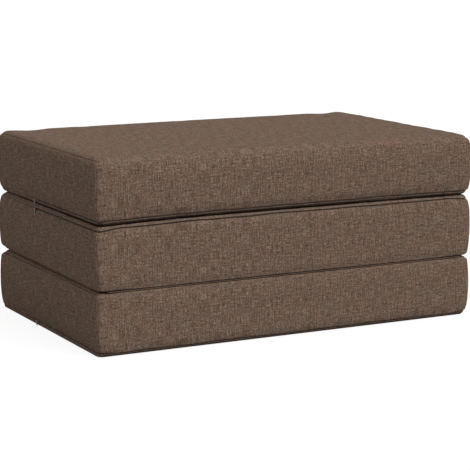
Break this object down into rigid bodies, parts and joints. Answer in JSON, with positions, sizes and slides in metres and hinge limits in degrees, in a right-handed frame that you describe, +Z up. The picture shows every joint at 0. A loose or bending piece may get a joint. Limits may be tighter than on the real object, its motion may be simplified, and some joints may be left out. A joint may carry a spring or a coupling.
{
  "type": "fold out ottoman guest bed",
  "caption": "Fold-out guest bed: foam sections in zipped melange covers, joined by fabric hinges, stack into a low ottoman and open out into a single mattress.",
  "frame": {"origin": "middle of the face that the folded ottoman stands on", "axes": "+X along the ottoman's width, +Y from its front to its back, +Z up"},
  "size_m": [1.0098, 0.6382, 0.4537],
  "materials": {
    "cover_fabric": "brown melange weave",
    "base_fabric": "dark plain weave",
    "foam": "open-cell foam",
    "zip_tape": "woven tape",
    "hinge_tape": "brown woven tape",
    "zip_coil": "moulded coil",
    "zip_metal": "dark nickel plated"
  },
  "bodies": {
    "bottom_section": {"bottom_foam_core": "foam", "bottom_cover_wrap": "cover_fabric", "bottom_left_end_panel": "cover_fabric", "bottom_right_end_panel": "cover_fabric", "bottom_zip_facing": "cover_fabric", "bottom_base_panel": "base_fabric", "bottom_zip_wall_tape": "zip_tape", "bottom_zip_facing_tape": "zip_tape", "bottom_zip_coils": "zip_coil", "bottom_zip_stops": "zip_tape", "front_hinge_bottom_leaf": "hinge_tape"},
    "middle_section": {"middle_foam_core": "foam", "middle_cover_wrap": "cover_fabric", "middle_left_end_panel": "cover_fabric", "middle_right_end_panel": "cover_fabric", "middle_zip_facing": "cover_fabric", "middle_base_panel": "base_fabric", "middle_zip_wall_tape": "zip_tape", "middle_zip_facing_tape": "zip_tape", "middle_zip_coils": "zip_coil", "middle_zip_stops": "zip_tape", "front_hinge_middle_leaf": "hinge_tape", "rear_hinge_middle_leaf": "hinge_tape"},
    "top_section": {"top_foam_core": "foam", "top_cover_wrap": "cover_fabric", "top_left_end_panel": "cover_fabric", "top_right_end_panel": "cover_fabric", "top_zip_facing": "cover_fabric", "top_base_panel": "base_fabric", "top_zip_wall_tape": "zip_tape", "top_zip_facing_tape": "zip_tape", "top_zip_coils": "zip_coil", "top_zip_stops": "zip_tape", "rear_hinge_top_leaf": "hinge_tape"},
    "bottom_slider": {"bottom_zip_slider": "zip_metal"},
    "bottom_pull": {"bottom_zip_pull": "zip_metal"},
    "middle_slider": {"middle_zip_slider": "zip_metal"},
    "middle_pull": {"middle_zip_pull": "zip_metal"},
    "top_slider": {"top_zip_slider": "zip_metal"},
    "top_pull": {"top_zip_pull": "zip_metal"}
  },
  "joints": [
    {"name": "front_fold", "type": "hinge", "parent": "bottom_section", "child": "middle_section", "pos_m": [0, -0.3192, 0.14985], "axis": [1, 0, 0], "range_deg": [0, 180]},
    {"name": "rear_fold", "type": "hinge", "parent": "middle_section", "child": "top_section", "pos_m": [0, 0.3192, 0.29985], "axis": [-1, 0, 0], "range_deg": [0, 180]},
    {"name": "bottom_zip_slide", "type": "slide", "parent": "bottom_section", "child": "bottom_slider", "axis": [0, -1, 0], "range_m": [0, 0.354]},
    {"name": "bottom_pull_swing", "type": "hinge", "parent": "bottom_slider", "child": "bottom_pull", "pos_m": [-0.50229, 0.063, 0.0104], "axis": [0, 1, 0], "range_deg": [0, 150]},
    {"name": "middle_zip_slide", "type": "slide", "parent": "middle_section", "child": "middle_slider", "axis": [0, -1, 0], "range_m": [0, 0.354]},
    {"name": "middle_pull_swing", "type": "hinge", "parent": "middle_slider", "child": "middle_pull", "pos_m": [-0.50229, 0.063, 0.2893], "axis": [0, 1, 0], "range_deg": [0, 150]},
    {"name": "top_zip_slide", "type": "slide", "parent": "top_section", "child": "top_slider", "axis": [0, -1, 0], "range_m": [0, 0.354]},
    {"name": "top_pull_swing", "type": "hinge", "parent": "top_slider", "child": "top_pull", "pos_m": [-0.50229, 0.063, 0.3104], "axis": [0, 1, 0], "range_deg": [0, 150]}
  ]
}
